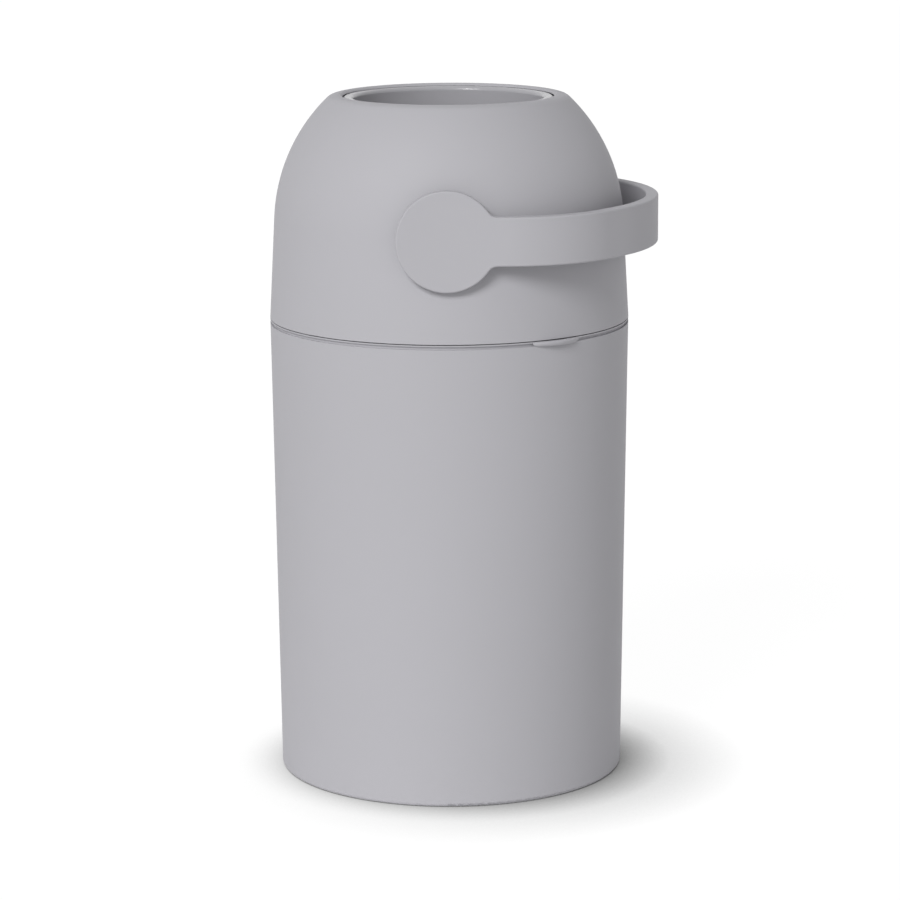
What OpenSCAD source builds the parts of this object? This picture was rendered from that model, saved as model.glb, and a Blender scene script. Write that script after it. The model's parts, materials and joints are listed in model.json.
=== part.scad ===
// Flip-handle nappy bin: a tapered pail under a domed head that hinges open. A ball-shaped drum
// with a straight chamber through it turns half round in the head, and a loose piston slides in
// the chamber and pushes the nappy out. Lengths are in millimetres and angles in degrees.
// The origin is the centre of the base, +Z is up, the drum turns about a line along Y, and the
// handle rests towards +X.

/* [Pail] */
// Outer radius at the floor
base_r = 140; // [137:0.5:142]
// Outer radius at the seam under the head
seam_r = 145; // [145:0.5:146]
// Height of the seam
seam_z = 372.3; // [340:0.1:420]
// Wall of the large mouldings
wall = 3; // [2.5:0.1:3]
// Thickness of the pail's floor
floor_t = 3.5; // [3:0.5:6]
// Rounding where the pail meets the ground
foot_round = 3; // [1:0.5:6]
// Rounding between floor and wall inside the pail
floor_fillet = 8; // [4:1:16]

/* [Rim] */
// Dark gap between the rim and the head
seam_gap = 0.8; // [0.6:0.1:1.2]
// Height of the rim's visible edge
edge_h = 1; // [0.8:0.1:1.2]
// Height of the groove under that edge
groove_h = 2.5; // [2.5:0.1:3]
// Depth of that groove
groove_depth = 1.8; // [1:0.1:2]
// Radius of the opening inside the rim
rim_bore_r = 120; // [119:0.5:121]

/* [Dome] */
// Lean of the head's straight lower wall
head_lean = 3.07; // [2.9:0.01:3.2]
// Length of that wall
head_straight = 81.9; // [80:0.1:84]
// Radius of the round side
side_r = 141.7; // [141:0.1:142.5]
// Tilt at which the side turns into the shoulder
side_end = 46.1; // [45.6:0.1:46.6]
// Radius of the shoulder
shoulder_r = 8.6; // [7:0.1:10]
// Tilt at which the shoulder turns into the crown
shoulder_end = 73.5; // [72:0.5:76]
// Radius of the crown
crown_r = 20; // [17:0.5:24]
// Tilt at which the crown rolls over into the mouth
crown_end = 90; // [87:1:91]
// Radius of the rolled lip
lip_r = 3.8; // [3.6:0.1:4]

/* [Drum] */
// Height of the turning axis above the seam
pivot_rise = 80.7; // [80:0.1:81.5]
// Radius of the ball
ball_r = 128; // [127.5:0.1:128.2]
// Half the distance between the two mouths
mouth_half = 97; // [96.5:0.1:97]
// Radius of the mouth
mouth_r = 76.2; // [75.5:0.1:76.5]
// Radius of the chamber
chamber_r = 79; // [78.8:0.1:79.2]
// Radius of the trunnions
trunnion_r = 20; // [18:0.5:21]
// Height of the piston
piston_h = 26; // [24:1:40]

/* [Handle] */
// Distance of the handle's flat faces from the middle
handle_y = 150; // [149.5:0.5:152]
// Radius of the round end discs
disc_r = 39.5; // [38:0.5:42]
// Height of the band
band_h = 38.2; // [34:0.1:42]
// Thickness of the band
band_t = 10; // [8:0.5:10.5]
// Rounding along the band's edges
band_round = 1.5; // [1:0.1:3]
// How far the bow reaches out from the middle
bow_x = 168.5; // [167.5:0.5:172]
// Radius of the bow's end
bow_end_r = 157.5; // [150:0.5:160]
// Radius of the bow's two shoulders
bow_shoulder_r = 100; // [92:1:104]

/* [Latch and hinge] */
// Direction of the thumb tab, from +X
latch_az = -54; // [-60:1:-48]
// Width of the thumb tab
tab_w = 47; // [40:1:52]
// How far the tab stands out from the wall
tab_out = 4.5; // [3.5:0.1:5.5]
// Distance of the hinge line from the middle
hinge_x = 150; // [150:0.5:152]

/* [Hidden] */
$fn = 96;
grey = [0.71, 0.71, 0.73];
pale = [0.86, 0.86, 0.87];
dark = [0.30, 0.30, 0.32];
steel = [0.72, 0.73, 0.75];

// Heights of the rim, from the seam
head_z = seam_z + seam_gap / 2;
rim_z = seam_z - seam_gap / 2;
groove_z = rim_z - edge_h;
pail_z = groove_z - groove_h;
taper = (seam_r - base_r) / seam_z;
function pail_r(z) = base_r + taper * z;
grip_in_r = 122;
grip_out_r = 130;
grip_t = 1.6;

// Tangent points and arc centres of the dome's outline, each a pair of radius and height
function out(tilt) = [cos(tilt), sin(tilt)];
head_foot = [seam_r, head_z];
side_c = head_foot + head_straight * [-sin(head_lean), cos(head_lean)] - side_r * out(head_lean);
shoulder_c = side_c + (side_r - shoulder_r) * out(side_end);
crown_c = shoulder_c + (shoulder_r - crown_r) * out(shoulder_end);
lip_c = crown_c + (crown_r - lip_r) * out(crown_end);

// Drum
pivot_z = seam_z + pivot_rise;
ball_gap = 0.9;
seal_gap = 0.35;
shell_t = 2.8;
shell_cut = mouth_half - 2.5;
lip_t = 5;
tube_t = 2.5;
tube_half = mouth_half - lip_t;
sleeve_h = 16;
skirt_h = 12;
skirt_t = 1.8;
skirt_r = chamber_r + tube_t + 0.1;
fit = 0.05;
boss_y = 134;
boss_r = 31;
flange_r = 30;
flange_t = 3;
bush_end_y = 141.2;
bush_t = 5.95;
socket_r = 13.95;
spigot_r = 13.8;
socket_y = 121;
stop_half_angle = 12;
stop_play = 0.3;
stop_y = 128.4;
tooth_y = 130.5;
hub_pad_y = 118;
hub_screw_r = 2;
tube_web_z = 45;

// Handle in plan. The band's straight side faces 4 out for 3 to the front
disc_t = 6.5;
disc_round = 1.2;
band_x = 31;
slope_out = [0.8, -0.6];
slope_l = (handle_y + slope_out[1] * bow_end_r - (1 + slope_out[1]) * bow_shoulder_r) / slope_out[0];
bow_end_c = [bow_x - bow_end_r, 0];
slope_end = bow_end_c + bow_end_r * slope_out;
shoulder_bend_c = slope_end + slope_l * [slope_out[1], -slope_out[0]] - bow_shoulder_r * slope_out;

// Head deck
deck_z = head_z + 2.6;
deck_t = 3;
deck_r = seam_r - wall - 0.4;
upstand_h = 6;
screw_ring_r = 134.5;
deck_screw_r = 1.5;
deck_screw_l = 15;
post_h = 32;
screw_azimuths = [for (k = [0:5]) latch_az + 30 + 60 * k];

// Hinge
hinge_z = rim_z - 1.9;
hinge_pin_r = 2;
knuckle_r = 4;
knuckle_in = 12;
knuckle_out = 22;
head_knuckle = knuckle_in - 0.3;

// Rim and bag ring
plate_t = 2.5;
spigot_wall = 2.2;
rim_spigot_r = pail_r(pail_z) - wall - 0.3;
rim_depth = 16;
bead_z = pail_z - 10;
bag_sleeve_t = 2.6;

// Latch lever, in the latch's own frame: X outwards, Y along the rim
lever_x = 138;
lever_z = rim_z - 7.4;
lever_w = 19.2;
lever_eye_r = 2.9;
latch_pin_r = 1.5;
latch_pin_l = 26.8;
ear_t = 3.2;
hook_w = 16;
hook_x = 135.3;
hook_t = 2.4;
hook_z = deck_z + deck_t + 0.3;
nose = 2.4;
nose_h = 2.2;
slot_x = 134.5;
tab_gap = 0.5;
tab_t = 4.4;
web_z = rim_z - 2.4;
web_top_z = rim_z - 0.3;
lever_gap = 0.9;
tab_arc_r = 46;
spring_x = 129;
spring_wire = 0.8;
spring_r = 2.6;
spring_turns = 3.5;
arm_top_z = lever_z - 0.4;
arm_w = 9;
arm_t = 2.2;
spring_h = rim_z - plate_t - arm_top_z - 0.1;
helix_steps = 56;
wire_sides = 8;

// Piston
piston_r = chamber_r - 0.8;
wiper_r = chamber_r - 0.25;
piston_gap = 0.1;
piston_bottom = sleeve_h - mouth_half + piston_gap;
piston_skin = 2.5;
groove = 2.2;
wiper_z = 4.5;
wiper_h = 3;

// ---- Shared shapes ----

// Slice of a flat ring between two directions
module pie(r_in, r_out, from, to) {
    reach = 2 * r_out;
    intersection() {
        difference() {
            circle(r_out);
            circle(r_in);
        }
        polygon([[0, 0], reach * out(from), reach * out((from + to) / 2), reach * out(to)]);
    }
}

// Ring about Z with a square section
module hoop(r_in, r_out, z_low, z_high) {
    rotate_extrude() translate([r_in, z_low]) square([r_out - r_in, z_high - z_low]);
}

// Round bar along Y
module y_bar(r, y_low, y_high) {
    translate([0, y_low, 0]) rotate([-90, 0, 0]) cylinder(r = r, h = y_high - y_low);
}

// Flat outline in X and Z, given a thickness along Y
module y_plate(y_low, y_high) {
    translate([0, y_high, 0]) rotate([90, 0, 0]) linear_extrude(y_high - y_low) children();
}

// Box from its low and high corners
module block(low, high) {
    translate(low) cube(high - low);
}

module at_pivot() { translate([0, 0, pivot_z]) children(); }
module at_latch() { rotate([0, 0, latch_az]) children(); }
module at_hinge() { rotate([0, 0, latch_az + 180]) children(); }
module at_rear() { mirror([0, 1, 0]) children(); }
module front_and_rear() {
    children();
    at_rear() children();
}

// ---- Pail and rim ----

// Filled half outline of a tapered tub with a rounded bottom corner
module tub_outline(r_low, z_low, z_high, corner) {
    lean = atan(taper);
    corner_x = r_low + taper * corner - corner / cos(lean);
    corner_c = [corner_x, z_low + corner];
    polygon([
        [0, z_low], [corner_x, z_low], corner_c + corner * [cos(lean), -sin(lean)],
        [r_low + taper * (z_high - z_low), z_high], [0, z_high]
    ]);
    translate(corner_c) circle(corner);
}

module pail() {
    room = lever_w / 2 + lever_gap;
    color(grey) difference() {
        rotate_extrude() intersection() {
            difference() {
                tub_outline(base_r, 0, pail_z, foot_round);
                tub_outline(pail_r(floor_t) - wall, floor_t, pail_z + 1, floor_fillet);
                // Groove for the rubber ring in the base
                translate([grip_in_r, -1]) square([grip_out_r - grip_in_r, 1 + grip_t]);
                // Groove that the rim frame's beads snap into
                translate([rim_spigot_r, bead_z - 2]) square([1.1, 4]);
            }
            square([2 * seam_r, pail_z]);
        }
        // Room for the latch lever's web
        at_latch() block([seam_r - 6, -room, pail_z - 0.8], [seam_r + 2, room, pail_z + 1]);
    }
}

module base_grip_ring() {
    color(dark) hoop(grip_in_r, grip_out_r, 0, grip_t);
}

// Half outline of the rim frame: an upside-down channel with the visible edge outside
module rim_section() {
    flange_r = seam_r - 0.1;
    neck_r = seam_r - groove_depth;
    translate([rim_bore_r, rim_z - plate_t]) square([neck_r - rim_bore_r, plate_t]);
    translate([neck_r - 2, groove_z]) square([flange_r - neck_r + 2, edge_h]);
    translate([rim_spigot_r - spigot_wall, pail_z]) square([neck_r - rim_spigot_r + spigot_wall, groove_h]);
    translate([rim_spigot_r - spigot_wall, pail_z - rim_depth]) square([spigot_wall, rim_depth + 1]);
    translate([rim_bore_r, pail_z - rim_depth]) square([2.2, rim_depth + 2]);
}

module rim_rib() {
    block([rim_bore_r + 1, -0.9, pail_z - 8], [rim_spigot_r - 1, 0.9, rim_z - plate_t + 0.5]);
}

module snap_bead() {
    rotate([0, 0, -6]) rotate_extrude(angle = 12)
        translate([rim_spigot_r - 0.6, bead_z]) circle(1.2);
}

module rim_knuckles() {
    for (side = [0, 1]) mirror([0, side, 0]) {
        translate([hinge_x, 0, hinge_z]) y_bar(knuckle_r, knuckle_in, knuckle_out);
        block([seam_r - 4, knuckle_in, rim_z - 3.2], [hinge_x, knuckle_out, rim_z]);
    }
}

module rim_frame() {
    room = lever_w / 2 + 0.4;
    color(grey) difference() {
        union() {
            rotate_extrude() rim_section();
            // Ribs leave the latch's place free
            for (k = [1:17]) rotate([0, 0, latch_az + 20 * k]) rim_rib();
            for (k = [0:5]) rotate([0, 0, latch_az + 30 + 60 * k]) snap_bead();
            at_hinge() rim_knuckles();
            // Ears that hold the latch pin
            at_latch() for (side = [0, 1]) mirror([0, side, 0])
                block([slot_x - 1, latch_pin_l / 2 - ear_t, lever_z - 4.5],
                      [rim_spigot_r - 1, latch_pin_l / 2, rim_z - 1]);
        }
        // Slot for the lever, open at the top and outwards
        at_latch() block([slot_x - 2.5, -room, pail_z - rim_depth - 1], [seam_r + 2, room, rim_z + 1]);
        at_latch() translate([lever_x, 0, lever_z]) y_bar(latch_pin_r, -latch_pin_l, latch_pin_l);
        at_hinge() translate([hinge_x, 0, hinge_z]) y_bar(hinge_pin_r, -25, 25);
    }
}

module bag_ring() {
    sleeve_r = rim_bore_r - 0.4;
    color(pale) difference() {
        union() {
            hoop(sleeve_r - bag_sleeve_t, sleeve_r, pail_z - rim_depth - 2, rim_z + 0.5);
            hoop(sleeve_r - bag_sleeve_t, sleeve_r + 4.9, rim_z, rim_z + 1.4);
            // Bead at the bottom that keeps the folded liner in place
            rotate_extrude() translate([sleeve_r - bag_sleeve_t, pail_z - rim_depth - 2]) circle(1.4);
        }
        // Two thumb notches to lift the ring out by
        for (side = [0, 180]) rotate([0, 0, latch_az + 90 + side])
            translate([rim_bore_r + 9, 0, rim_z]) cylinder(r = 8, h = 3);
    }
}

module rim_gasket() {
    gasket_r = 127.8;
    color(dark) rotate_extrude() {
        translate([gasket_r - 1.8, rim_z]) square([3.6, 1.6]);
        translate([gasket_r, rim_z + 1.6]) circle(1.5);
    }
}

// ---- Hinge and latch ----

module hinge_pin() {
    color(steel) at_hinge() translate([hinge_x, 0, hinge_z]) {
        y_bar(hinge_pin_r, -knuckle_out - 1, knuckle_out + 1);
        y_bar(hinge_pin_r + 1.2, -knuckle_out - 2.5, -knuckle_out - 0.2);
    }
}

module latch_pin() {
    half = latch_pin_l / 2;
    color(steel) at_latch() translate([lever_x, 0, lever_z]) y_bar(latch_pin_r, -half, half);
}

// One turn of wire after another, swept along a helix
function helix(turn) = [
    spring_r * cos(360 * turn), spring_r * sin(360 * turn),
    spring_wire / 2 + turn / spring_turns * (spring_h - spring_wire)
];
module latch_spring() {
    echo(least_gap_between_turns = (spring_h - spring_wire) / spring_turns - spring_wire);
    rings = [for (i = [0:helix_steps]) let (turn = spring_turns * i / helix_steps, around = 360 * turn)
        [for (j = [0:wire_sides - 1]) let (a = 360 * j / wire_sides)
            helix(turn) + spring_wire / 2 * [cos(a) * cos(around), cos(a) * sin(around), sin(a)]]];
    points = [for (ring = rings) each ring];
    sides = [for (i = [0:helix_steps - 1], j = [0:wire_sides - 1])
        let (k = (j + 1) % wire_sides, low = i * wire_sides, high = low + wire_sides)
        each [[low + j, low + k, high + k], [low + j, high + k, high + j]]];
    start = [[for (j = [wire_sides - 1:-1:0]) j]];
    end = [[for (j = [0:wire_sides - 1]) helix_steps * wire_sides + j]];
    color(steel) at_latch() translate([spring_x, 0, arm_top_z + 0.05])
        polyhedron(points, concat(sides, start, end));
}

// Crescent tab: a rounded disc that shows only where it stands out of the wall
module thumb_tab() {
    top = rim_z;
    edge = 1.2;
    intersection() {
        translate([seam_r + tab_out - tab_arc_r, 0, 0]) rotate_extrude() {
            translate([0, top - tab_t]) square([tab_arc_r - tab_t + edge, tab_t]);
            translate([0, top - 2 * edge]) square([tab_arc_r - edge, 2 * edge]);
            translate([tab_arc_r - edge, top - edge]) circle(edge);
            translate([tab_arc_r - tab_t + edge, top - edge]) intersection() {
                circle(tab_t - edge);
                translate([0, -tab_t]) square(tab_t);
            }
        }
        difference() {
            block([seam_r - 4, -tab_w / 2, top - tab_t - 1], [seam_r + 8, tab_w / 2, top + 1]);
            cylinder(r = seam_r + tab_gap - 0.1, h = 2 * seam_z);
        }
    }
}

module latch_lever() {
    half = lever_w / 2;
    color(grey) at_latch() difference() {
        union() {
            thumb_tab();
            // Web from the tab back over the pail's edge
            block([lever_x - 2.5, -half, web_z], [seam_r + 2, half, web_top_z]);
            block([lever_x - 2.5, -half, lever_z], [lever_x + lever_eye_r, half, web_top_z]);
            translate([lever_x, 0, lever_z]) y_bar(lever_eye_r, -half, half);
            // Arm that the spring presses down on
            block([spring_x - arm_w / 2 + 0.9, -arm_w / 2, arm_top_z - arm_t],
                  [lever_x, arm_w / 2, arm_top_z]);
            // Hook that rises through the deck and catches its edge
            block([hook_x, -hook_w / 2, web_z], [hook_x + hook_t, hook_w / 2, hook_z + nose_h]);
            translate([0, -hook_w / 2, 0]) rotate([-90, 0, 0]) linear_extrude(hook_w) polygon([
                [hook_x + 0.5, -hook_z], [hook_x - nose, -hook_z],
                [hook_x - nose, -hook_z - 0.6], [hook_x + 0.5, -hook_z - nose_h]
            ]);
        }
        translate([lever_x, 0, lever_z]) y_bar(latch_pin_r + fit, -half - 1, half + 1);
    }
}

// ---- Head ----

// Half section of the dome's wall: straight skirt, round side, shoulder, crown and rolled lip
module dome_section() {
    skirt_top = side_c + side_r * out(head_lean);
    inward = wall * out(head_lean);
    polygon([head_foot, skirt_top, skirt_top - inward, head_foot - [wall / cos(head_lean), 0]]);
    translate(side_c) pie(side_r - wall, side_r, head_lean, side_end);
    translate(shoulder_c) pie(shoulder_r - wall, shoulder_r, side_end, shoulder_end);
    translate(crown_c) pie(crown_r - wall, crown_r, shoulder_end, crown_end);
    translate(lip_c) circle(lip_r);
}

module screw_posts() {
    for (az = screw_azimuths) rotate([0, 0, az]) {
        translate([screw_ring_r, 0, deck_z + deck_t]) cylinder(r = 4.2, h = post_h);
        // Rib that ties the post to the wall, above the deck's upstand
        block([screw_ring_r, -1.2, deck_z + deck_t + upstand_h + 0.4],
              [seam_r - wall - 1, 1.2, deck_z + deck_t + post_h - 4]);
    }
}

module dome_shell() {
    color(grey) difference() {
        union() {
            rotate_extrude() dome_section();
            // Bearing bosses for the two bushes
            at_pivot() front_and_rear() y_bar(boss_r, -bush_end_y, -boss_y);
            screw_posts();
            at_hinge() {
                translate([hinge_x, 0, hinge_z]) y_bar(knuckle_r, -head_knuckle, head_knuckle);
                block([seam_r - 2, -head_knuckle, head_z], [hinge_x + 2.5, head_knuckle, head_z + 5]);
            }
        }
        at_pivot() {
            sphere(ball_r + ball_gap, $fn = 128);
            front_and_rear() {
                y_bar(trunnion_r + bush_t + fit, -bush_end_y - 4, -boss_y + 4);
                // Flat seat for the bush's flange
                y_bar(boss_r, -boss_y - fit, -boss_y + 10);
            }
        }
        for (az = screw_azimuths) rotate([0, 0, az])
            translate([screw_ring_r, 0, deck_z + deck_t - 1])
                cylinder(r = deck_screw_r, h = deck_screw_l + 2);
        at_hinge() translate([hinge_x, 0, hinge_z]) y_bar(hinge_pin_r + fit, -13, 13);
    }
}

module head_deck() {
    color(pale) difference() {
        union() {
            hoop(106, deck_r, deck_z, deck_z + deck_t);
            // Upstand that centres the deck in the dome
            hoop(deck_r - 2.6, deck_r - 0.4, deck_z, deck_z + deck_t + upstand_h);
            for (k = [0:11]) rotate([0, 0, latch_az + 15 + 30 * k])
                block([112, -0.9, deck_z + 1], [129, 0.9, deck_z + deck_t + 4]);
        }
        for (az = screw_azimuths) rotate([0, 0, az])
            translate([screw_ring_r, 0, deck_z - 1]) cylinder(r = deck_screw_r + 0.3, h = deck_t + 2);
        // Slot that the latch hook rises through
        at_latch() block([slot_x, -hook_w / 2 - 1.2, deck_z - 1],
                         [seam_r, hook_w / 2 + 1.2, deck_z + deck_t + upstand_h + 2]);
    }
}

module deck_screws() {
    color(steel) for (az = screw_azimuths) rotate([0, 0, az]) translate([screw_ring_r, 0, deck_z]) {
        translate([0, 0, -2.2]) cylinder(r = deck_screw_r + 1.7, h = 2.2);
        translate([0, 0, -0.5]) cylinder(r = deck_screw_r, h = deck_screw_l);
    }
}

module top_seal() {
    seal_t = 2.4;
    glue_t = 0.3;
    color(dark) rotate_extrude() difference() {
        intersection() {
            translate(crown_c) circle(crown_r - wall - glue_t);
            translate([lip_c[0] + lip_r - 0.1, pivot_z]) square([seal_t, ball_r]);
        }
        translate([0, pivot_z]) circle(ball_r + seal_gap, $fn = 128);
        translate(lip_c) circle(lip_r + glue_t);
    }
}

module deck_seal() {
    seal_z = deck_z + deck_t;
    color(dark) rotate_extrude() difference() {
        union() {
            translate([100, deck_z + 0.6]) square([6, deck_t + 1.6]);
            translate([105, seal_z]) square([5, 2.2]);
        }
        translate([0, pivot_z]) circle(ball_r + seal_gap, $fn = 128);
    }
}

// Flanged bearing bush with the half-turn stop on its inner face
module bush() {
    color(pale) at_pivot() difference() {
        union() {
            y_bar(trunnion_r + bush_t, -bush_end_y, -boss_y + flange_t - 0.5);
            y_bar(flange_r, -boss_y, -boss_y + flange_t);
            y_plate(-boss_y + flange_t - 0.5, -stop_y) pie(trunnion_r + 1.4, flange_r - 1,
                stop_half_angle - 180 + stop_play, -stop_half_angle - stop_play);
        }
        y_bar(trunnion_r + fit, -bush_end_y - 1, -socket_y);
    }
}
module front_bush() { bush(); }
module rear_bush() { at_rear() bush(); }

// ---- Drum and handle ----

// Front half of the ball: a shell with its trunnion, stop tooth and two webs round the tube
module drum_shell() {
    color(pale) at_pivot() difference() {
        union() {
            difference() {
                sphere(ball_r, $fn = 128);
                sphere(ball_r - shell_t, $fn = 128);
            }
            intersection() {
                union() {
                    y_bar(flange_r - 3, -ball_r, -hub_pad_y);
                    for (z = [-tube_web_z, tube_web_z])
                        hoop(chamber_r + tube_t + 0.3, ball_r, z - 1, z + 1);
                }
                sphere(ball_r - 1, $fn = 128);
            }
            y_bar(trunnion_r, -bush_end_y - 1.6, -hub_pad_y - 2);
            y_plate(-tooth_y, -hub_pad_y - 4)
                pie(trunnion_r - 2, flange_r - 2, -stop_half_angle, stop_half_angle);
        }
        block([-ball_r, -0.05, -ball_r], [ball_r, ball_r, ball_r]);
        // Flat at both mouths, with room for the mouth rings' skirts
        for (side = [0, 1]) mirror([0, 0, side]) {
            translate([0, 0, shell_cut]) cylinder(r = ball_r, h = ball_r);
            translate([0, 0, mouth_half - skirt_h - 1]) cylinder(r = skirt_r + skirt_t + 0.3, h = skirt_h);
        }
        y_plate(-handle_y, -socket_y) rotate(30) circle(socket_r, $fn = 6);
        y_bar(hub_screw_r + 0.3, -socket_y - 4, -hub_pad_y + 8);
    }
}
module front_drum_shell() { drum_shell(); }
module rear_drum_shell() { at_rear() drum_shell(); }

module chamber_tube() {
    color(grey) at_pivot() hoop(chamber_r, chamber_r + tube_t, -tube_half + 0.05, tube_half - 0.05);
}

// Channel-shaped ring that caps the tube's end and the shell's edge. Its sleeve lines the mouth, and
// the sleeve's end is what stops the piston
module mouth_ring() {
    inner_round = 3;
    outer_round = 1.5;
    top = mouth_half;
    tube_r = chamber_r + tube_t;
    crest_r = sqrt(pow(ball_r - 0.1, 2) - pow(top - outer_round, 2)) - outer_round - 1.2;
    color(grey) rotate_extrude() intersection() {
        union() {
            translate([mouth_r, top - lip_t]) square([tube_r - mouth_r, lip_t - inner_round]);
            translate([mouth_r, top - sleeve_h]) square([chamber_r - 0.1 - mouth_r, sleeve_h - inner_round]);
            translate([mouth_r + inner_round, top - inner_round]) intersection() {
                circle(inner_round);
                translate([-inner_round, 0]) square(2 * inner_round);
            }
            translate([mouth_r + inner_round, top - inner_round])
                square([crest_r - mouth_r - inner_round, inner_round]);
            translate([crest_r, top - outer_round]) circle(outer_round);
            translate([mouth_r + inner_round, shell_cut])
                square([ball_r - mouth_r, mouth_half - shell_cut - outer_round]);
            translate([skirt_r, top - skirt_h]) square([skirt_t, skirt_h - outer_round]);
        }
        circle(ball_r - 0.1, $fn = 128);
    }
}
module upper_mouth_ring() { at_pivot() mouth_ring(); }
module lower_mouth_ring() { at_pivot() mirror([0, 0, 1]) mouth_ring(); }

// Section of the handle's band, its outer face at X = 0
module band_section() {
    far = band_h / 2 - band_round;
    for (z = [-far, far], x = [-band_round, -band_t + band_round]) translate([x, z]) circle(band_round);
    translate([-band_t, -far]) square([band_t, 2 * far]);
    translate([-band_t + band_round, -band_h / 2]) square([band_t - 2 * band_round, band_h]);
}

// One bend of the band in plan, from one direction to another by way of a third
module band_arc(centre, r, from, mid, to) {
    translate([centre[0], centre[1], 0]) intersection() {
        rotate_extrude() translate([r, 0]) band_section();
        translate([0, 0, -band_h]) linear_extrude(2 * band_h)
            polygon([[0, 0], 2 * r * from, 2 * r * mid, 2 * r * to]);
    }
}

// Flat face of the handle: the disc, the start of the band and the fillets between them
module disc_outline() {
    fillet_r = 9;
    half = band_h / 2;
    fillet_c = [sqrt(pow(disc_r + fillet_r, 2) - pow(half + fillet_r, 2)), half + fillet_r];
    circle(disc_r);
    translate([0, -half]) square([shoulder_bend_c[0] - 2, band_h]);
    for (side = [0, 1]) mirror([0, side]) difference() {
        polygon([[0, 0], fillet_c * disc_r / (disc_r + fillet_r), fillet_c, [fillet_c[0], 0]]);
        translate(fillet_c) circle(fillet_r);
    }
}

module handle_side() {
    back_y = -handle_y + disc_t;
    y_plate(-handle_y + disc_round, back_y) disc_outline();
    // The disc's outer edge is rounded
    rotate([90, 0, 0]) rotate_extrude() {
        translate([0, handle_y - 2 * disc_round]) square([disc_r - disc_round, 2 * disc_round]);
        translate([disc_r - disc_round, handle_y - disc_round]) circle(disc_round);
    }
    // Flat start of the band, shoulder, straight side
    translate([band_x, 0, 0]) rotate([90, 0, 90]) linear_extrude(shoulder_bend_c[0] - band_x)
        translate([-handle_y, 0]) mirror([1, 0]) band_section();
    band_arc(shoulder_bend_c, bow_shoulder_r, [0, -1], [-slope_out[1], -slope_out[0]], slope_out);
    translate([slope_end[0], slope_end[1], 0]) rotate([0, 0, atan2(slope_out[1], slope_out[0])])
        rotate([90, 0, 0]) linear_extrude(slope_l) band_section();
    // Six-sided spigot that drives the drum
    y_plate(back_y, -socket_y - 0.5) rotate(30) circle(spigot_r, $fn = 6);
}

module handle() {
    color(grey) at_pivot() difference() {
        union() {
            front_and_rear() handle_side();
            band_arc(bow_end_c, bow_end_r, slope_out, [1, 0], [slope_out[0], -slope_out[1]]);
        }
        front_and_rear() y_bar(hub_screw_r, -socket_y - 17, -socket_y + 1);
    }
}

module hub_screws() {
    color(steel) at_pivot() front_and_rear() {
        y_bar(hub_screw_r + 2.2, -hub_pad_y, -hub_pad_y + 3.2);
        y_bar(hub_screw_r, -hub_pad_y - 18, -hub_pad_y + 1);
    }
}

// ---- Piston ----

// Bottom half: a cup with a wiper groove, ribs and a seat for the weight
module piston_half() {
    half_h = piston_h / 2;
    color(pale) {
        rotate_extrude() difference() {
            union() {
                square([piston_r - 1, piston_skin]);
                translate([piston_r - 4, 0]) square([3, half_h - 0.05]);
                translate([piston_r - 4, 1]) square([4, half_h - 1.05]);
                translate([piston_r - 1, 1]) circle(1);
            }
            translate([piston_r - groove, wiper_z]) square([5, wiper_h]);
        }
        for (k = [0:7]) rotate([0, 0, 45 * k])
            block([62, -0.9, piston_skin - 0.5], [piston_r - 3, 0.9, half_h - 1]);
    }
}
module piston_bottom_half() { at_pivot() translate([0, 0, piston_bottom]) piston_half(); }
module piston_top_half() {
    at_pivot() translate([0, 0, piston_bottom + piston_h]) mirror([0, 0, 1]) piston_half();
}

module piston_weight() {
    color(steel) at_pivot() hoop(6, 60, piston_bottom + piston_skin, piston_bottom + piston_skin + 5);
}

module wiper() {
    lip = 1.3;
    color(dark) rotate_extrude() {
        translate([piston_r - groove, wiper_z]) square([wiper_r - lip - piston_r + groove, wiper_h]);
        translate([wiper_r - lip, wiper_z + wiper_h / 2]) circle(lip);
    }
}
module lower_wiper() { at_pivot() translate([0, 0, piston_bottom]) wiper(); }
module upper_wiper() {
    at_pivot() translate([0, 0, piston_bottom + piston_h]) mirror([0, 0, 1]) wiper();
}

pail();
base_grip_ring();
rim_frame();
bag_ring();
rim_gasket();
hinge_pin();
latch_pin();
latch_spring();
latch_lever();
dome_shell();
head_deck();
deck_screws();
top_seal();
deck_seal();
front_bush();
rear_bush();
front_drum_shell();
rear_drum_shell();
chamber_tube();
upper_mouth_ring();
lower_mouth_ring();
handle();
hub_screws();
piston_top_half();
piston_bottom_half();
piston_weight();
upper_wiper();
lower_wiper();
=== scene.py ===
# %% [markdown]
# # A nappy bin with a flip handle
#
# The bin is a tapered pail under a domed head. A ball-shaped drum turns half round in the head when
# the handle is swung over, and drops the nappy into the bag below. Every hard part already exists
# as a CAD model at its real size. This lesson gives those parts their finish, models anew the few
# pieces that gain from it, and sets up the camera, the floor and the light.
#
# All lengths are in metres. The origin is the centre of the base and +Z is up.

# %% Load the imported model
import bmesh
import bpy
import json
import math
from mathutils import Matrix, Vector


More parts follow.
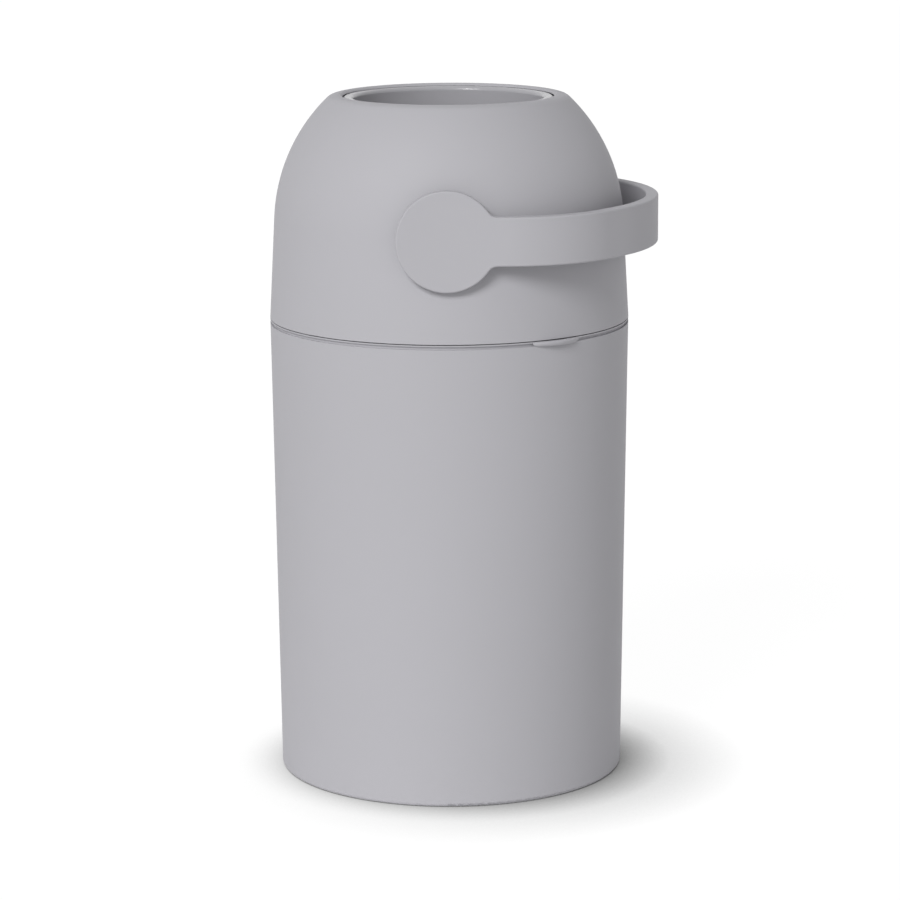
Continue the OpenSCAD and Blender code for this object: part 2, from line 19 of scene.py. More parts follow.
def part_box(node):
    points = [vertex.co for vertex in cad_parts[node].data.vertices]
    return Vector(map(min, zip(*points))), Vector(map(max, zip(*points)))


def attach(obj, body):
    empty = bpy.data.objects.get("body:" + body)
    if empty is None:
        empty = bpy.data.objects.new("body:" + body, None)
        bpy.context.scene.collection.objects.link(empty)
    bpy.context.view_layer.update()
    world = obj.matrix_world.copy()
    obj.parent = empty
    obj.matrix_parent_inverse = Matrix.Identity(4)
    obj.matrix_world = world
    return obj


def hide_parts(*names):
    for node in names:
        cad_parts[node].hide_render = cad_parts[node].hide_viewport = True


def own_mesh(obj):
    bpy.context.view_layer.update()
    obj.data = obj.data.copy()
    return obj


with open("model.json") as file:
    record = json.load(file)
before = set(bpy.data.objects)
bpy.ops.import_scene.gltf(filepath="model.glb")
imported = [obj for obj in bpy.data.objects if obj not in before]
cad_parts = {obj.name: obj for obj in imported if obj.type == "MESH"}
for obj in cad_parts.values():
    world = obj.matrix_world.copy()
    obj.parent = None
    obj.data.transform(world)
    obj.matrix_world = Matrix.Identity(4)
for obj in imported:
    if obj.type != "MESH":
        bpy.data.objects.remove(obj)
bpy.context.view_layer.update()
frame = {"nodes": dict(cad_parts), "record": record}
nodes = frame["nodes"]

# %% [markdown]
# ## The camera
#
# The photograph was taken from a little above, with a long lens, so the sides hardly converge. A
# camera can be aimed by hand until the outlines meet. Here its distance, height, pitch and roll were
# fitted to the ellipses of the base, the seam and the mouth, which is far more exact, and they are
# written below as real sizes. The view direction is turned into three axes, and those make the
# camera's matrix, so that no rounding of angles creeps in.

# %% Camera
IMAGE_WIDTH = 900
FOCAL_PIXELS = 3499.7
SENSOR_WIDTH = 36.0
CAMERA_DISTANCE = 2.8024
CAMERA_HEIGHT = 0.8331
CAMERA_AZIMUTH = math.radians(0.7)
CAMERA_PITCH = math.radians(11.547)
CAMERA_ROLL = math.radians(-0.281)


def camera_matrix():
    """The camera's place and axes, from its distance, height, pitch, roll and azimuth."""
    ahead = Vector((0, math.cos(CAMERA_PITCH), -math.sin(CAMERA_PITCH)))
    side = Vector((1, 0, 0))
    up = side.cross(ahead)
    cos_roll, sin_roll = math.cos(CAMERA_ROLL), math.sin(CAMERA_ROLL)
    axis_x = cos_roll * side + sin_roll * up
    axis_y = cos_roll * up - sin_roll * side
    axes = Matrix((axis_x, axis_y, -ahead)).transposed().to_4x4()
    place = Matrix.Translation((0, -CAMERA_DISTANCE, CAMERA_HEIGHT))
    return Matrix.Rotation(CAMERA_AZIMUTH, 4, "Z") @ place @ axes


lens_mm = FOCAL_PIXELS / IMAGE_WIDTH * SENSOR_WIDTH
bpy.ops.object.camera_add()
camera = bpy.context.object
camera.name = "camera"
camera.data.sensor_width = SENSOR_WIDTH
camera.data.lens = lens_mm
camera.matrix_world = camera_matrix()
bpy.context.scene.camera = camera
bpy.context.scene.view_settings.view_transform = "Standard"
print("lens:", round(lens_mm, 1), "mm")

# %% [markdown]
# ## Shader maths as plain Python
#
# A material's pattern is a small calculation. Wiring it by hand takes a Math node for every sign,
# which soon hides the idea. The class below wraps one socket and overloads Python's signs, so that
# `0.5 + 0.1 * grain` adds the nodes by itself. A second class holds one material and has a single
# method for any other node.

# %% Sockets with arithmetic
class Value:
    """A socket on which + - * / ** add Math nodes."""

    def __init__(self, tree, socket):
        self.tree = tree
        self.socket = socket

    def sign(self, operation, first, second):
        node = self.tree.nodes.new("ShaderNodeMath")
        node.operation = operation
        for slot, item in zip(node.inputs, (first, second)):
            put(self.tree, slot, item)
        return Value(self.tree, node.outputs[0])

    def __add__(self, other):
        return self.sign("ADD", self, other)

    def __radd__(self, other):
        return self.sign("ADD", other, self)

    def __sub__(self, other):
        return self.sign("SUBTRACT", self, other)

    def __rsub__(self, other):
        return self.sign("SUBTRACT", other, self)

    def __mul__(self, other):
        return self.sign("MULTIPLY", self, other)

    def __rmul__(self, other):
        return self.sign("MULTIPLY", other, self)

    def __pow__(self, other):
        return self.sign("POWER", self, other)


def put(tree, slot, item):
    """Links a Value to a node's input, or writes a constant there."""
    if isinstance(item, Value):
        tree.links.new(item.socket, slot)
    else:
        slot.default_value = item


class Finish:
    """One material: its Principled shader and the nodes that vary it."""

    def __init__(self, name, colour, roughness, **constants):
        self.material = bpy.data.materials.new(name)
        self.material.use_nodes = True
        self.tree = self.material.node_tree
        self.shader = self.tree.nodes["Principled BSDF"]
        self.colour = (*colour, 1)
        self.set("Base Color", self.colour)
        self.set("Roughness", roughness)
        for key, item in constants.items():
            self.set(key.replace("_", " "), item)
        self.place = self.node("ShaderNodeTexCoord", output="Object")

    def set(self, name, item):
        put(self.tree, self.shader.inputs[name], item)

    def node(self, kind, settings=(), inputs=(), output=0):
        made = self.tree.nodes.new(kind)
        for name, item in dict(settings).items():
            if name == "stops":
                self.ramp(made, item)
            else:
                setattr(made, name, item)
        for name, item in dict(inputs).items():
            put(self.tree, made.inputs[name], item)
        return Value(self.tree, made.outputs[output])

    def ramp(self, made, stops):
        points = made.color_ramp.elements
        while len(points) < len(stops):
            points.new(0.5)
        for point, (position, level) in zip(points, stops):
            point.position = position
            point.color = (level, level, level, 1)

    def noise(self, size, detail=2.0, place=None):
        """Soft noise, 0 to 1, whose blots are about size metres across."""
        inputs = {"Vector": place or self.place, "Scale": 1 / size, "Detail": detail}
        return self.node("ShaderNodeTexNoise", inputs=inputs)

    def tint(self, factor, other):
        """The base colour where factor is 0, the other colour where it is 1."""
        mix = self.tree.nodes.new("ShaderNodeMix")
        mix.data_type = "RGBA"
        put(self.tree, mix.inputs["Factor"], factor)
        colours = [slot for slot in mix.inputs if slot.type == "RGBA"]
        colours[0].default_value = self.colour
        colours[1].default_value = (*other, 1)
        result = [slot for slot in mix.outputs if slot.type == "RGBA"][0]
        return Value(self.tree, result)

    def rough(self, low, high, pattern):
        """Roughness from low, where the pattern is 0, to high, where it is 1."""
        self.set("Roughness", low + (high - low) * pattern)

    def grey(self, level):
        """A level as a grey colour."""
        return self.node("ShaderNodeCombineColor", {}, dict.fromkeys(("Red", "Green", "Blue"), level))

    def bump(self, height, depth):
        """Raises the surface by height times depth metres."""
        inputs = {"Height": height, "Distance": depth, "Strength": 1.0}
        self.set("Normal", self.node("ShaderNodeBump", inputs=inputs))


print("socket class ready")

# %% [markdown]
# ## The grey moulded plastic
#
# Pail, head, handle and tab are one polypropylene, in one cool grey. It looks plain from a step away,
# but a flat colour would look like putty. A moulding has a fine spark-eroded grain from its tool,
# which breaks up the highlight, a slow waviness where the thick walls shrank, and a polish that
# drifts a little. So three noises of three sizes feed the bump and the roughness, and a very faint
# drift of tone feeds the colour. The parts that nappies slide over come from a polished mould, and
# those that stay inside are left pale.

# %% Grey plastic
BIN_GREY = (0.468, 0.462, 0.492)
BIN_GREY_WARM = (0.452, 0.447, 0.472)
# The polished greys are a shade deeper than the bin's grey: painted shade for the inside of the mouth.
PAINTED_SHADE_POLISHED_GREY = (0.412, 0.407, 0.433)
PAINTED_SHADE_POLISHED_GREY_WARM = (0.398, 0.393, 0.415)
PALE = (0.60, 0.60, 0.62)
PALE_WARM = (0.57, 0.57, 0.59)
GRAIN_SIZE = 0.0007
WAVE_SIZE = 0.055
WAVE_HEIGHT = 6  # in grain depths
CLOUD_SIZE = 0.16
POLISH_SIZE = 0.02
POLISH_DRIFT = 0.04


def moulded(name, colour, other, roughness, grain_depth, gloss=0.3):
    """Injection-moulded plastic: spark grain, slow waves and a drift of tone."""
    finish = Finish(name, colour, roughness, IOR=1.46, Specular_IOR_Level=gloss)
    grain = finish.noise(GRAIN_SIZE, detail=3)
    wave = finish.noise(WAVE_SIZE, detail=1)
    cloud = finish.noise(CLOUD_SIZE, detail=3)
    polish = finish.noise(POLISH_SIZE, detail=4)
    finish.set("Base Color", finish.tint(cloud, other))
    finish.rough(roughness - POLISH_DRIFT, roughness + POLISH_DRIFT, polish)
    finish.bump(grain + WAVE_HEIGHT * wave, grain_depth)
    return finish.material


bin_plastic = moulded(
    "bin_plastic", BIN_GREY, BIN_GREY_WARM, roughness=0.6, grain_depth=0.00002,
)
drum_plastic = moulded(
    "drum_plastic", PAINTED_SHADE_POLISHED_GREY, PAINTED_SHADE_POLISHED_GREY_WARM, roughness=0.22, grain_depth=0.000006,
    gloss=0.5,
)
pale_plastic = moulded("pale_plastic", PALE, PALE_WARM, roughness=0.45, grain_depth=0.00001)
print("materials:", bin_plastic.name, drum_plastic.name, pale_plastic.name)

# %% [markdown]
# ## Bearing plastic
#
# The two bushes are acetal, which is slippery, milky and a little glossy. One noise polishes some
# places more than others, as running does, and a finer one makes the bump.

# %% Bearing plastic
BUSH_CREAM = (0.80, 0.79, 0.74)
RUB_SIZE = 0.006
PIT_SIZE = 0.0012


def slippery(name):
    """Bearing plastic, which running has polished in places."""
    finish = Finish(name, BUSH_CREAM, 0.3, IOR=1.48)
    finish.rough(0.24, 0.38, finish.noise(RUB_SIZE, detail=4))
    finish.bump(finish.noise(PIT_SIZE), depth=0.00001)
    return finish.material


bush_plastic = slippery("bush_plastic")
print("material:", bush_plastic.name)

# %% [markdown]
# ## Rubber
#
# Seals, wipers and the ring under the base are black rubber. Old rubber has a dry, dusty bloom in
# patches. A colour ramp turns a soft noise into such patches, and lightens the black there.

# %% Rubber
RUBBER_BLACK = (0.035, 0.035, 0.037)
BLOOM_GREY = (0.07, 0.07, 0.07)
BLOOM_STOPS = [(0.45, 0), (0.75, 1)]
BLOOM_SIZE = 0.004
DUST_SIZE = 0.002
PORE_SIZE = 0.0005


def rubber(name):
    """Black rubber with a dusty bloom in patches."""
    finish = Finish(name, RUBBER_BLACK, 0.75, IOR=1.5)
    patches = finish.noise(BLOOM_SIZE, detail=5)
    bloom = finish.node("ShaderNodeValToRGB", {"stops": BLOOM_STOPS}, {"Fac": patches})
    finish.set("Base Color", finish.tint(bloom, BLOOM_GREY))
    finish.rough(0.68, 0.88, finish.noise(DUST_SIZE, detail=3))
    finish.bump(finish.noise(PORE_SIZE), depth=0.00003)
    return finish.material


black_rubber = rubber("black_rubber")
print("material:", black_rubber.name)

# %% [markdown]
# ## Zinc-plated steel
#
# Pins, screws, spring and weight are plated steel. The plating is bright, with a fine spangle in its
# polish and faint blots where the bath left it thicker.

# %% Zinc-plated steel
ZINC = (0.62, 0.63, 0.65)
THICK_ZINC = (0.50, 0.52, 0.56)
BLOT_SIZE = 0.003
SPANGLE_SIZE = 0.0006
CRYSTAL_SIZE = 0.0004


def plated(name):
    """Steel under bright zinc, with blots where the zinc is thicker."""
    finish = Finish(name, ZINC, 0.3, Metallic=1.0)
    finish.set("Base Color", finish.tint(finish.noise(BLOT_SIZE, detail=4), THICK_ZINC))
    finish.rough(0.2, 0.45, finish.noise(SPANGLE_SIZE, detail=3))
    finish.bump(finish.noise(CRYSTAL_SIZE), depth=0.000008)
    return finish.material


zinc_steel = plated("zinc_steel")
print("material:", zinc_steel.name)

# %% [markdown]
# ## Giving every CAD part its finish
#
# The imported record says which slot each part takes its finish from, so the slot picks the material
# and no part can be forgotten. The two mouth rings and the chamber tube are the same plastic as the
# rest, but nappies have to slide over them, so their mould is polished and they get the glossier grey.
# That grey is also a shade deeper, which is painted shade that darkens the inside of the mouth.

# %% Materials for the CAD parts
BY_SLOT = {
    "body_grey": bin_plastic,
    "inner_plastic": pale_plastic,
    "bearing_plastic": bush_plastic,
    "rubber": black_rubber,
    "steel": zinc_steel,
}
for part in frame["record"]["subparts"]:
    materials = nodes[part["node"]].data.materials
    materials.clear()
    materials.append(BY_SLOT[part["material_slot"]])
for name in ("upper_mouth_ring", "lower_mouth_ring", "chamber_tube"):
    nodes[name].data.materials[0] = drum_plastic

# %% [markdown]
# ## The handle, part one: its outline
#
# The handle is one moulding: a flat round disc, a wide band that grows out of it with two small
# fillets, and a bow that runs round the head to the same disc at the back. The camera looks straight
# at its edges, so it is modelled here with one soft rounding along all of them.

# %% Sizes of the handle
handle_low, handle_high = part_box("handle")
HUB_Z = (handle_low.z + handle_high.z) / 2
DISC_RADIUS = -handle_low.x
DISC_THICKNESS = 0.0065
BAND_HEIGHT = 0.0382
BAND_THICKNESS = 0.010
BAND_START = 0.041
FILLET_RADIUS = 0.009
FRONT_Y = handle_low.y
FILLET_STEPS = 6
DISC_STEPS = 96
UP = Vector((0, 0, 1))
TO_FRONT = Vector((0, -1, 0))
print("disc radius:", round(DISC_RADIUS, 4), "at height", round(HUB_Z, 4))

# %% [markdown]
# ## Modelling by place instead of by mouse
#
# An operator acts on whatever is selected. In a script there is no mouse to select with, so a small
# function picks points or faces by their place or by the way they look. The others shorten the calls
# that come back in every piece.

# %% Tools for edit mode
def pick(wanted, kind="VERT"):
    """Selects what passes wanted(place, normal) on the piece in edit mode, and nothing else."""
    data = bpy.context.edit_object.data
    mesh = bmesh.from_edit_mesh(data)
    bpy.ops.mesh.select_mode(type=kind)
    bpy.ops.mesh.select_all(action="DESELECT")
    for item in mesh.verts if kind == "VERT" else mesh.faces:
        place = item.co if kind == "VERT" else item.calc_center_median()
        item.select_set(wanted(place, item.normal))
    bmesh.update_edit_mesh(data)


def push(along):
    """Extrudes what is selected along a vector."""
    bpy.ops.mesh.extrude_region_move(TRANSFORM_OT_translate={"value": along})


def turn(centre, axis, degrees, steps):
    """Spins what is selected about an axis, anticlockwise as seen from the axis' tip."""
    bpy.ops.mesh.spin(steps=steps, angle=-math.radians(degrees), center=centre, axis=axis)


def edit():
    """Goes into edit mode."""
    bpy.ops.object.mode_set(mode="EDIT")


def leave():
    """Goes back to object mode."""
    bpy.ops.object.mode_set(mode="OBJECT")


print("tools ready")

# %% [markdown]
# ## Drawing the outline
#
# The outline is drawn as on paper. One point is extruded for each straight line and spun for each
# arc, and then the loop is filled. Each fillet touches the disc and the band's edge, which puts its
# centre one fillet radius outside both.

# %% Draw the outline of disc and band
half_band = BAND_HEIGHT / 2
fillet_z = half_band + FILLET_RADIUS
fillet_x = math.sqrt((DISC_RADIUS + FILLET_RADIUS) ** 2 - fillet_z ** 2)
fillet_degrees = math.degrees(math.atan2(fillet_x, fillet_z))
hub = Vector((0, FRONT_Y, HUB_Z))
low_fillet = hub + Vector((fillet_x, 0, -fillet_z))
high_fillet = hub + Vector((fillet_x, 0, fillet_z))

bpy.ops.object.select_all(action="DESELECT")
bpy.ops.mesh.primitive_plane_add(size=BAND_THICKNESS)
handle = bpy.context.object
handle.name = "swept_handle"
edit()
bpy.ops.mesh.merge(type="CENTER")
bpy.ops.mesh.select_all(action="SELECT")
bpy.ops.transform.translate(value=hub + Vector((BAND_START, 0, -half_band)))
push((fillet_x - BAND_START, 0, 0))
turn(low_fillet, TO_FRONT, fillet_degrees, FILLET_STEPS)
turn(hub, TO_FRONT, -180 - 2 * fillet_degrees, DISC_STEPS)
turn(high_fillet, TO_FRONT, fillet_degrees, FILLET_STEPS)
push((BAND_START - fillet_x, 0, 0))
bpy.ops.mesh.select_all(action="SELECT")
bpy.ops.mesh.edge_face_add()
leave()
print("corners in the outline:", len(handle.data.vertices))

# %% [markdown]
# ## The handle, part two: sweeping the band
#
# The filled outline is extruded back by the disc's thickness. Its small end face is then carried on
# round the head, with a spin for the shoulder, an extrusion for the straight slope and a spin for
# half of the bow. The back corners move in first, because the band is thicker than the disc. Only
# the front half is built. A Mirror modifier makes the rear half and welds the two in the middle,
# so front and back can never differ.

# %% Thicken the disc and sweep the band
SHOULDER = Vector((0.045375, -0.050, HUB_Z))
SHOULDER_DEGREES = 53.13
SHOULDER_STEPS = 24
SLOPE_LENGTH = 0.019375
SLOPE = Vector((0.6, 0.8, 0)) * SLOPE_LENGTH
BOW_MIDDLE = Vector((0.011, 0, HUB_Z))
BOW_STEPS = 28
TINY = 0.0001
FACING = 0.9  # a normal's least share along an axis, for faces that look that way

edit()
bpy.ops.mesh.select_all(action="SELECT")
push((0, DISC_THICKNESS, 0))
bpy.ops.mesh.select_all(action="SELECT")
bpy.ops.mesh.normals_make_consistent(inside=False)
pick(lambda place, normal: normal.x > FACING and place.x > BAND_START - TINY, "FACE")
push((SHOULDER.x - BAND_START, 0, 0))
pick(lambda place, normal: place.x > SHOULDER.x - TINY and place.y > FRONT_Y + TINY)
bpy.ops.transform.translate(value=(0, BAND_THICKNESS - DISC_THICKNESS, 0))
pick(lambda place, normal: place.x > SHOULDER.x - TINY, "FACE")
turn(SHOULDER, UP, SHOULDER_DEGREES, SHOULDER_STEPS)
push(SLOPE)
turn(BOW_MIDDLE, UP, 90 - SHOULDER_DEGREES, BOW_STEPS)
bpy.ops.mesh.delete(type="FACE")
leave()
print("half handle:", len(handle.data.polygons), "faces")

# %% [markdown]
# ## The handle, part three: the driving spigots
#
# Behind each disc a six-sided spigot goes through the head's bush and into the drum. It is what
# turns the drum with the handle, and it shows when the parts are drawn apart.

# %% Add the spigot, mirror the half and round the edges
SPIGOT_RADIUS = 0.0138
SPIGOT_START = FRONT_Y + DISC_THICKNESS - 0.001  # a millimetre inside the disc
SPIGOT_END = -0.1215
EDGE_ROUND = 0.0015
SHARP = math.radians(45)

edit()
bpy.ops.mesh.select_all(action="DESELECT")
bpy.ops.mesh.primitive_circle_add(
    vertices=6, radius=SPIGOT_RADIUS, fill_type="NGON",
    location=(0, SPIGOT_START, HUB_Z), rotation=(math.radians(90), 0, 0),
)
push((0, SPIGOT_END - SPIGOT_START, 0))
leave()


def apply_modifier(piece, kind, **settings):
    """Adds a modifier with these settings and applies it at once."""
    modifier = piece.modifiers.new(kind.lower(), kind)
    for name, item in settings.items():
        setattr(modifier, name, item)
    bpy.ops.object.modifier_apply(modifier=modifier.name)


apply_modifier(handle, "MIRROR", use_axis=(False, True, False), merge_threshold=TINY)
edit()
bpy.ops.mesh.select_all(action="SELECT")
bpy.ops.mesh.normals_make_consistent(inside=False)
leave()
bpy.ops.object.shade_smooth()
apply_modifier(
    handle, "BEVEL", width=EDGE_ROUND, segments=4, limit_method="ANGLE",
    angle_limit=SHARP, harden_normals=True,
)
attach(handle, "drum")
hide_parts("handle")
handle.data.materials.append(bin_plastic)
print("handle:", len(handle.data.polygons), "faces")

# %% [markdown]
# ## The latch spring
#
# A small coil spring under the rim holds the thumb tab up. As a CAD part it is rigid, and the pressed
# lever would cut into it. This one is wound from a ring-shaped section by a Screw modifier, which
# turns the section round an axis and lifts it on the way. It stays rigid too, since nothing here lets it
# shorten.

# %% Wind the spring
SPRING_WIRE = 0.0008
WIRE_SIDES = 12
SPRING_TURNS = 3.5
STEPS_PER_TURN = 24
END_REACH = SPRING_WIRE * 0.55  # a little over half the wire, so it takes in one end's ring
HAIR = 1e-6
SPRING_CREASE = math.radians(40)
spring_low, spring_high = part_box("latch_spring")
spring_radius = (spring_high.y - spring_low.y - SPRING_WIRE) / 2
spring_lift = spring_high.z - spring_low.z - SPRING_WIRE

bpy.ops.object.select_all(action="DESELECT")
bpy.ops.mesh.primitive_circle_add(vertices=WIRE_SIDES, radius=SPRING_WIRE / 2)
spring = bpy.context.object
spring.name = "wound_latch_spring"
edit()
bpy.ops.transform.rotate(value=math.radians(90), orient_axis="X", center_override=(0, 0, 0))
bpy.ops.transform.translate(value=(spring_radius, 0, 0))
leave()
apply_modifier(
    spring, "SCREW", angle=SPRING_TURNS * math.tau, screw_offset=spring_lift,
    steps=int(SPRING_TURNS * STEPS_PER_TURN), use_smooth_shade=True, use_merge_vertices=True,
)
edit()
pick(lambda place, normal: place.x > 0 and abs(place.y) < HAIR and place.z < END_REACH)
bpy.ops.mesh.edge_face_add()
last_turn = spring_lift - END_REACH
pick(lambda place, normal: place.x < 0 and abs(place.y) < HAIR and place.z > last_turn)
bpy.ops.mesh.edge_face_add()
bpy.ops.mesh.select_all(action="SELECT")
bpy.ops.mesh.normals_make_consistent(inside=False)
middle = (spring_low + spring_high) / 2
bpy.ops.transform.translate(value=(middle.x, middle.y, spring_low.z + SPRING_WIRE / 2))
leave()
bpy.ops.object.shade_smooth_by_angle(angle=SPRING_CREASE)
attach(spring, "pail")
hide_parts("latch_spring")
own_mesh(spring)
spring.data.materials.append(zinc_steel)
print("spring:", len(spring.data.polygons), "faces, lift", round(spring_lift, 4))

# %% [markdown]
# ## Screws with a cross recess
#
# Six screws hold the deck in the head, and show when the head is open. One more at each side holds the
# handle to the drum. As CAD parts they are plain cylinders, so one screw of each size is modelled here
# and copied. Its recess is cut by a tapered cross, which is a plane of nine squares without its corners,
# pushed down and made smaller at the foot.

# %% The cutter for the cross recess
CUTTER_ABOVE = 0.2  # how far it stands out above the head, in recess depths
CUTTER_FOOT = 0.55  # its width at the bottom, in widths at the top


def cross_cutter(span, depth):
    """A cross that gets narrower downwards, from just above the origin."""
    bpy.ops.object.select_all(action="DESELECT")
    bpy.ops.mesh.primitive_plane_add(size=span)
    cutter = bpy.context.object
    edit()
    bpy.ops.mesh.subdivide(number_cuts=2)
    pick(lambda place, normal: min(abs(place.x), abs(place.y)) > span / 6, "FACE")
    bpy.ops.mesh.delete(type="FACE")
    bpy.ops.mesh.select_all(action="SELECT")
    bpy.ops.transform.translate(value=(0, 0, depth * CUTTER_ABOVE))
    push((0, 0, -depth * (1 + CUTTER_ABOVE)))
    bpy.ops.transform.resize(value=(CUTTER_FOOT, CUTTER_FOOT, 1), center_override=(0, 0, 0))
    bpy.ops.mesh.select_all(action="SELECT")
    bpy.ops.mesh.normals_make_consistent(inside=False)
    leave()
    return cutter


print("cutter ready")

# %% [markdown]
# ## One screw
#
# The screw starts as the cylinder of its head. The underside is inset and extruded for the shaft and
# again for the tip, and the top edge is bevelled. A Boolean modifier takes the cross out of the head.

# %% One screw
HEAD_SIDES = 40
HEAD_ROUND = 0.4  # in head heights
TIP_WIDTH = 0.35  # in shaft widths
RECESS_SPAN = 1.15  # in head radii
RECESS_DEPTH = 0.6  # in head heights
SCREW_CREASE = math.radians(30)


def pan_screw(head_radius, head_height, shaft_radius, length):
    """A screw that points down, with the top of its head at the origin."""
    bpy.ops.object.select_all(action="DESELECT")
    bpy.ops.mesh.primitive_cylinder_add(
        vertices=HEAD_SIDES, radius=head_radius, depth=head_height,
        location=(0, 0, -head_height / 2),
    )
    bpy.ops.object.transform_apply(location=True, rotation=False, scale=False)
    screw = bpy.context.object
    edit()
    pick(lambda place, normal: normal.z < -FACING, "FACE")
    bpy.ops.mesh.inset(thickness=head_radius - shaft_radius)
    push((0, 0, head_height - length + shaft_radius))
    push((0, 0, -shaft_radius))
    bpy.ops.transform.resize(value=(TIP_WIDTH, TIP_WIDTH, 1), center_override=(0, 0, -length))
    pick(lambda place, normal: normal.z > FACING, "FACE")
    bpy.ops.mesh.bevel(offset=head_height * HEAD_ROUND, segments=4, affect="EDGES")
    leave()
    cutter = cross_cutter(head_radius * RECESS_SPAN, head_height * RECESS_DEPTH)
    bpy.ops.object.select_all(action="DESELECT")
    screw.select_set(True)
    bpy.context.view_layer.objects.active = screw
    apply_modifier(screw, "BOOLEAN", object=cutter, operation="DIFFERENCE", solver="EXACT")
    bpy.data.objects.remove(cutter)
    bpy.ops.object.shade_smooth_by_angle(angle=SCREW_CREASE)
    screw.data.materials.append(zinc_steel)
    return screw


deck_low, deck_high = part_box("deck_screws")
deck_screw = pan_screw(
    head_radius=0.0032, head_height=0.0022, shaft_radius=0.0015, length=deck_high.z - deck_low.z,
)
print("deck screw:", len(deck_screw.data.polygons), "faces")

# %% [markdown]
# ## The screws in their places
#
# Each copy has its own mesh, and the mesh itself is turned and moved, so that the object stays at the
# origin. The deck's screws stand head down on a ring, and those in the hubs have their heads inside
# the drum. The two models are removed at the end.

# %% Put the screws in place
SCREW_RING = 0.1345
DECK_SCREWS = 6
FIRST_AZIMUTH = -24
HUB_SEAT = 0.1148


def fasten(model, name, turned, body, node):
    """A copy of the model with its own mesh, whose place is in the mesh."""
    piece = model.copy()
    piece.data = model.data.copy()
    piece.name = name
    piece.data.transform(turned)
    bpy.context.collection.objects.link(piece)
    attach(piece, body)
    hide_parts(node)


head_down = Matrix.Translation((SCREW_RING, 0, deck_low.z)) @ Matrix.Rotation(math.pi, 4, "X")
for number in range(DECK_SCREWS):
    azimuth = math.radians(FIRST_AZIMUTH + 360 / DECK_SCREWS * number)
    around = Matrix.Rotation(azimuth, 4, "Z")
    fasten(deck_screw, f"deck_screw_{number + 1}", around @ head_down, "head", "deck_screws")

hub_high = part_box("hub_screws")[1]
hub_screw = pan_screw(
    head_radius=0.0042, head_height=0.0032, shaft_radius=0.002, length=hub_high.y - HUB_SEAT,
)
quarter_turn = Matrix.Rotation(math.radians(-90), 4, "X")
head_inwards = Matrix.Translation((0, -HUB_SEAT, HUB_Z)) @ quarter_turn
half_turn = Matrix.Rotation(math.pi, 4, "Z")
fasten(hub_screw, "front_hub_screw", head_inwards, "drum", "hub_screws")
fasten(hub_screw, "rear_hub_screw", half_turn @ head_inwards, "drum", "hub_screws")
for model in (deck_screw, hub_screw):
    bpy.data.objects.remove(model)
print("screws:", DECK_SCREWS, "in the deck, 2 in the hubs")

# %% [markdown]
# ## The floor
#
# The photograph is a catalogue picture: white all round, with a soft dark halo at the foot. A white
# floor under plain light would come out grey, and more light would burn out the bin. So the floor
# has two sides. To the light that falls on the bin it is an ordinary white floor. To the camera and
# to reflections it glows almost white by itself, and keeps a small part of its true shading, so that
# the shadow that the bin throws still lies there, very faintly.
#
# The halo comes from ambient occlusion, which measures how much of the sky above a point is hidden
# by the bin. One reach gives a halo that ends too suddenly, so a short and a long reach are multiplied,
# which fades much as the real one does. Their normals lean to the left, the long one's more, so the halo
# is deep on the right of the bin and thin on the left, just as a large lamp box at the left would
# leave it.

# %% Floor
FLOOR_SIZE = 40
FLOOR_WHITE = 0.9
SHADED_PART = 0.1
FLOOR_GLOW = 0.96
HALO_QUALITY = {"samples": 6}
HALOES = (
    {"reach": 0.108, "depth": 0.632, "lean": (-0.742, 0.139, 0.8)},
    {"reach": 0.042, "depth": 0.887, "lean": (-0.277, -0.084, 0.8)},
)

bpy.ops.mesh.primitive_plane_add(size=FLOOR_SIZE)
floor = bpy.context.object
floor.name = "floor"


def ray_kinds(tree, *names):
    """1 for the kinds of ray that are named, 0 for all others."""
    path = tree.nodes.new("ShaderNodeLightPath")
    total = 0
    for name in names:
        total = Value(tree, path.outputs[name]) + total
    return total


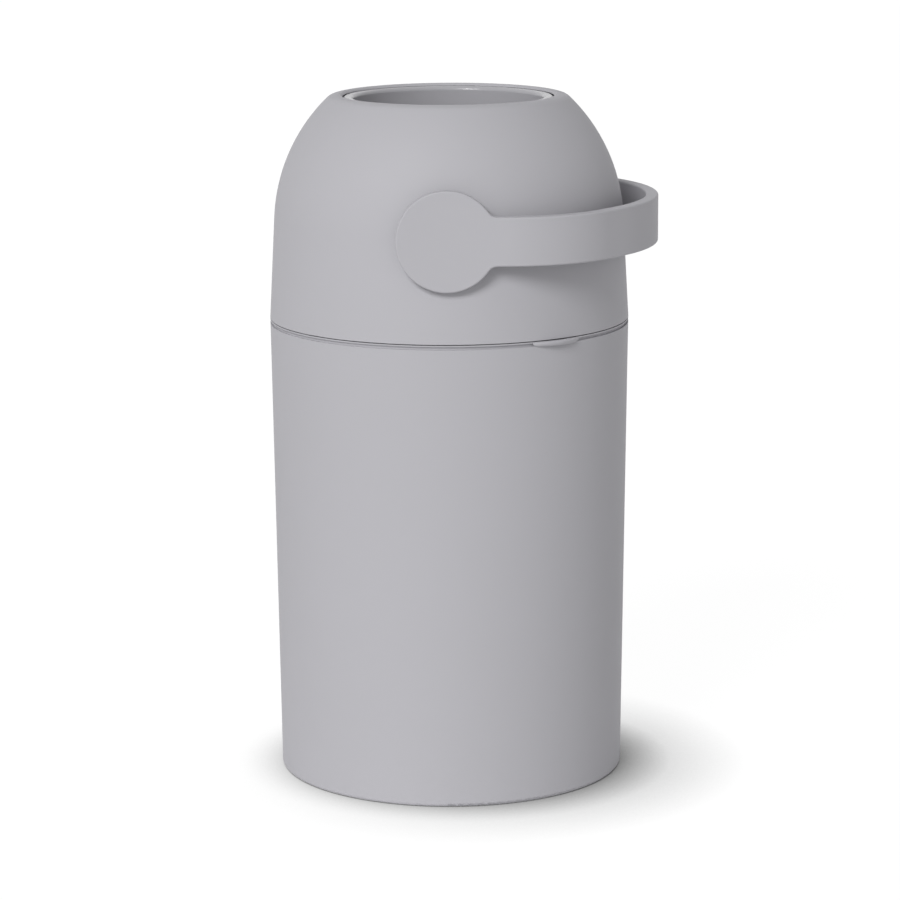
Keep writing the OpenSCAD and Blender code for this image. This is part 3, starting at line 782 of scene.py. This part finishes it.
def floor_finish():
    finish = Finish("floor_white", (FLOOR_WHITE,) * 3, 1.0, Specular_IOR_Level=0.0)
    seen = ray_kinds(finish.tree, "Is Camera Ray", "Is Glossy Ray", "Is Transmission Ray")
    glow = FLOOR_GLOW * seen
    for halo in HALOES:
        lean = finish.node("ShaderNodeCombineXYZ", {}, dict(zip("XYZ", halo["lean"])))
        inputs = {"Distance": halo["reach"], "Normal": lean}
        clear = finish.node("ShaderNodeAmbientOcclusion", HALO_QUALITY, inputs, "AO")
        glow = glow * clear ** halo["depth"]
    finish.set("Base Color", finish.grey(FLOOR_WHITE - FLOOR_WHITE * (1 - SHADED_PART) * seen))
    finish.set("Emission Color", finish.grey(glow))
    finish.set("Emission Strength", 1.0)
    return finish.material


floor.data.materials.append(floor_finish())
print("floor:", FLOOR_SIZE, "m")

# %% [markdown]
# ## Sky and sun
#
# One wide soft sun stands at the upper left, in front, and a sky that is brighter at the horizon than
# overhead fills the rest. Light adds up, so a picture lit by all of them is the sum of pictures lit by
# each. Rendering them one at a time, and solving for the strengths that together give the brightness
# of the photograph's grey plastic, gave the numbers below.

# %% Sky and sun
HORIZON_LEVEL = 0.60
OVERHEAD_LEVEL = 0.21
SUN_LEVEL = 1.95
SUN_SPREAD = math.radians(22)
SUN_AZIMUTH = math.radians(-26)
SUN_HEIGHT = math.radians(33)

world = bpy.data.worlds.new("studio")
world.use_nodes = True
bpy.context.scene.world = world
sky_tree = world.node_tree
sky = sky_tree.nodes["Background"]
direction = sky_tree.nodes.new("ShaderNodeTexCoord")
split = sky_tree.nodes.new("ShaderNodeSeparateXYZ")
sky_tree.links.new(direction.outputs["Generated"], split.inputs[0])
steepness = Value(sky_tree, split.outputs["Z"])
height = steepness.sign("MAXIMUM", steepness, 0.0)
level = HORIZON_LEVEL - (HORIZON_LEVEL - OVERHEAD_LEVEL) * height
seen = ray_kinds(sky_tree, "Is Camera Ray", "Is Glossy Ray", "Is Transmission Ray")
put(sky_tree, sky.inputs["Strength"], level + (1 - level) * seen)
sky.inputs["Color"].default_value = (1, 1, 1, 1)

bpy.ops.object.light_add(type="SUN")
sun = bpy.context.object
sun.name = "key_light"
sun.data.energy = SUN_LEVEL
sun.data.angle = SUN_SPREAD
towards = Vector((
    math.sin(SUN_AZIMUTH) * math.cos(SUN_HEIGHT),
    -math.cos(SUN_AZIMUTH) * math.cos(SUN_HEIGHT),
    math.sin(SUN_HEIGHT),
))
sun.rotation_euler = towards.to_track_quat("Z", "Y").to_euler()
print("light from", tuple(round(v, 2) for v in towards))
